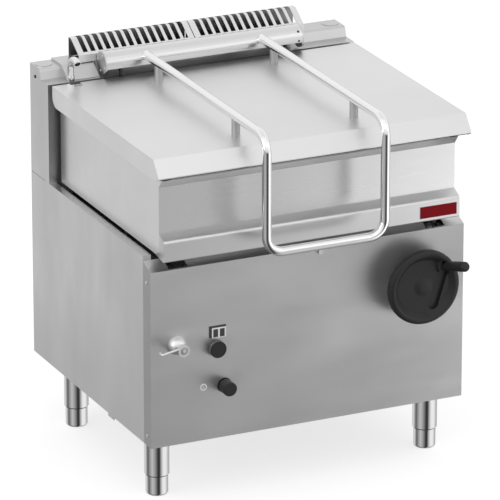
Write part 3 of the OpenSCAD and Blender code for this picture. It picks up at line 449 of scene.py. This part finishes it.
def finish_piece(name, bm, material, body, smooth=True):
    bmesh.ops.recalc_face_normals(bm, faces=bm.faces)
    mesh = bpy.data.meshes.new(name)
    bm.to_mesh(mesh)
    bm.free()
    mesh.materials.append(M[material])
    if smooth:
        for poly in mesh.polygons:
            poly.use_smooth = True
        mesh.set_sharp_from_angle(angle=SHARP_ANGLE)
    obj = bpy.data.objects.new(name, mesh)
    bpy.context.collection.objects.link(obj)
    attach(obj, body)


def rings(bm, loops):
    """Joins loops of points into a closed skin."""
    made = [[bm.verts.new(p) for p in loop] for loop in loops]
    n = len(loops[0])
    for a, b in zip(made, made[1:]):
        for i in range(n):
            j = (i + 1) % n
            bm.faces.new((a[i], a[j], b[j], b[i]))
    bm.faces.new(list(reversed(made[0])))
    bm.faces.new(made[-1])


def circle(count):
    """Angles evenly round a full turn."""
    return [2 * math.pi * i / count for i in range(count)]


def turned(bm, center, axis, profile):
    """A turned part: profile lists (along the axis, radius) in mm from center."""
    axis = Vector(axis)
    side = axis.orthogonal().normalized()
    up = axis.cross(side)
    rings(bm, [[center + axis * (along / 1000) + (side * math.cos(t) + up * math.sin(t)) * (radius / 1000)
                for t in circle(TURNED_SIDES)] for along, radius in profile])


# How far a sign reaches into the front panel, and how far its dark and its pale parts stand proud, in mm
SIGN_BACK, SIGN_FRONT, FIELD_FRONT = 0.05, -0.45, -0.22


def slab(bm, outline, front=SIGN_FRONT):
    """A flat shape on the front panel, with its outline in x, z."""
    rings(bm, [[P(x, y, z) for x, z in outline] for y in (front, SIGN_BACK)])


def bar(bm, x0, x1, z0, z1, front=SIGN_FRONT):
    slab(bm, [(x0, z0), (x1, z0), (x1, z1), (x0, z1)], front)


# ---------------------------------------------------------------- details
SIDES = ((-1, "left"), (1, "right"))


def pictogram():
    """A generic sign above the gas knob: a dark corner and two burner fields on a pale one."""
    bm = bmesh.new()
    bar(bm, -246.4, -211.2, 398.0, 422.4, FIELD_FRONT)
    finish_piece("knob_sign_field", bm, "mark_pale", "cabinet", smooth=False)
    bm = bmesh.new()
    slab(bm, [(-254, 399), (-246.8, 399), (-246.8, 422.8), (-211, 422.8), (-211, 428), (-254, 428)])
    bar(bm, -243, -231, 399.5, 419)
    bar(bm, -226.5, -214.5, 399.5, 419)
    finish_piece("knob_sign", bm, "mark", "cabinet", smooth=False)


# The igniter's sign: its middle, its ring's radii in mm and sides, and the spark's outline from the middle
SPARK_X, SPARK_Z = -268, 281
RING_OUTER, RING_INNER, RING_SIDES = 8.4, 5.8, 20
SPARK = ((-2.4, 3.0), (1.5, 0.3), (0.2, -0.2), (2.4, -3.4), (-1.4, -0.6), (-0.2, 0.1))


def spark_sign():
    """A generic sign beside the igniter button: a spark in a pale ring."""
    bm = bmesh.new()
    step = 2 * math.pi / RING_SIDES
    for k in range(RING_SIDES):
        corners = ((RING_OUTER, k), (RING_OUTER, k + 1), (RING_INNER, k + 1), (RING_INNER, k))
        slab(bm, [(SPARK_X + r * math.cos(step * i), SPARK_Z + r * math.sin(step * i)) for r, i in corners])
    slab(bm, [(SPARK_X + x, SPARK_Z + z) for x, z in SPARK])
    finish_piece("spark_sign", bm, "mark_pale", "cabinet", smooth=False)


def wheel_cap():
    """The soft dome over the shaft's end in the middle of the handwheel's dish."""
    low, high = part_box("worm_shaft")
    bm = bmesh.new()
    end = Vector(((low[0] + high[0]) / 2, low[1], (low[2] + high[2]) / 2))
    turned(bm, end, (0, -1, 0), [(-3.3, 24), (-2.95, 24), (-2.5, 20.5), (-1.6, 17), (-0.6, 13.5), (0.0, 10.5),
                                 (0.25, 7), (0.35, 3)])
    finish_piece("wheel_cap", bm, "plastic", "tilt_wheel")


# The face of the tap's disc, in mm in front of the panel
TAP_FACE = -41


def tap_face():
    """The darker field inside the ring of the tap's disc."""
    low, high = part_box("tap_valve")
    bm = bmesh.new()
    middle = Vector(((low[0] + high[0]) / 2, P(0, TAP_FACE, 0).y, (low[2] + high[2]) / 2))
    turned(bm, middle, (0, -1, 0), [(-0.3, 9.3), (0.1, 9.3), (0.2, 9.1)])
    finish_piece("tap_face", bm, "grey_satin", "tap")


# The gas knob's crests: how many, the first one's angle, half a crest's width, how far it reaches in and out
# of the knob's radius, and where it stops at the knob's back and front, in m
RIBS, RIB_START, RIB_HALF = 30, math.radians(6), 0.0006
RIB_IN, RIB_OUT, RIB_BACK, RIB_FRONT = 0.0004, 0.0002, 0.002, 0.0022


def knob_rib_highlights():
    """Pale crests of the ribs round the gas knob: a painted highlight along the rib tops."""
    low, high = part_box("gas_knob")
    cx, cz = (low[0] + high[0]) / 2, (low[2] + high[2]) / 2
    radius = (high[0] - low[0]) / 2
    corners = ((-RIB_IN, -1), (RIB_OUT, -1), (RIB_OUT, 1), (-RIB_IN, 1))
    bm = bmesh.new()
    for i in range(RIBS):
        t = 2 * math.pi * i / RIBS + RIB_START
        out = Vector((math.cos(t), 0, math.sin(t)))
        across = Vector((-math.sin(t), 0, math.cos(t)))
        rings(bm, [[Vector((cx, y, cz)) + out * (radius + reach) + across * (RIB_HALF * side)
                    for reach, side in corners] for y in (high[1] - RIB_BACK, low[1] + RIB_FRONT)])
    finish_piece("knob_rib_highlights", bm, "rib", "gas_control", smooth=False)


# The lid's foremost edge (y, z), and half the seam's length, in mm
LID_NOSE = (-40.5, 819)
SEAM_HALF = 394


def lid_seam_shade():
    """A dark strip as painted shade in the gap where the lid's front edge is folded back under itself."""
    bm = bmesh.new()
    y, z = LID_NOSE
    outline = ((-0.12, -3.9), (-0.12, -2.3), (0.4, -2.3), (0.4, -3.9))
    rings(bm, [[P(x, y + dy, z + dz) for dy, dz in outline] for x in (-SEAM_HALF, SEAM_HALF)])
    finish_piece("lid_seam_shade", bm, "shade", "lid", smooth=False)


# Radius of a foot, in mm
FOOT_R = 26.5


def leg_groove_shade():
    """Dark rings as painted shade in the groove where each foot slides into its leg tube."""
    low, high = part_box("leg_feet")
    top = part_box("leg_sleeves")[0][2]
    inner, outer = FOOT_R - 0.5, FOOT_R + 0.12
    inset = FOOT_R / 1000
    bm = bmesh.new()
    for x in (low[0] + inset, high[0] - inset):
        for y in (low[1] + inset, high[1] - inset):
            turned(bm, Vector((x, y, top)), (0, 0, 1),
                   [(-3.2, inner), (-3.2, outer), (0.1, outer), (0.1, inner)])
    finish_piece("leg_groove_shade", bm, "shade", "cabinet", smooth=False)


# Half the cabinet's width, the seam's ends from front to rear, and its lower and upper edge, in mm
HALF_W = 400
COLUMN_SEAM_Y, COLUMN_SEAM_Z = (611.5, 695), (609.4, 610.4)


def column_seam():
    """The joint between the rear column and the side panel, on both sides."""
    (y0, y1), (z0, z1) = COLUMN_SEAM_Y, COLUMN_SEAM_Z
    for side, word in SIDES:
        bm = bmesh.new()
        rings(bm, [[P(side * (HALF_W + proud), y, z) for y, z in ((y0, z0), (y1, z0), (y1, z1), (y0, z1))]
                   for proud in (-0.4, 0.12)])
        finish_piece("column_seam_" + word, bm, "shade", "cabinet", smooth=False)


# Distance of each handle arm from the middle, and its flare's outlines: y, half width, half height, middle z
ARM_X = 150
FLARE = ((552, 11.2, 11.2, 899), (562, 12.0, 11.0, 899), (569, 14.0, 10.2, 898.6), (575, 16.6, 9.2, 898),
         (580, 18.0, 8.2, 897.4))


def arm_flares():
    """The flattened, welded end of each handle arm on the barrel."""
    for side, word in SIDES:
        bm = bmesh.new()
        rings(bm, [[P(side * ARM_X + w * math.cos(t), y, z + h * math.sin(t)) for t in circle(FLARE_SIDES)]
                   for y, w, h, z in FLARE])
        finish_piece("arm_flare_" + word, bm, "chrome", "lid")


for make in (pictogram, spark_sign, wheel_cap, tap_face, knob_rib_highlights, lid_seam_shade, leg_groove_shade, column_seam,
             arm_flares):
    make()
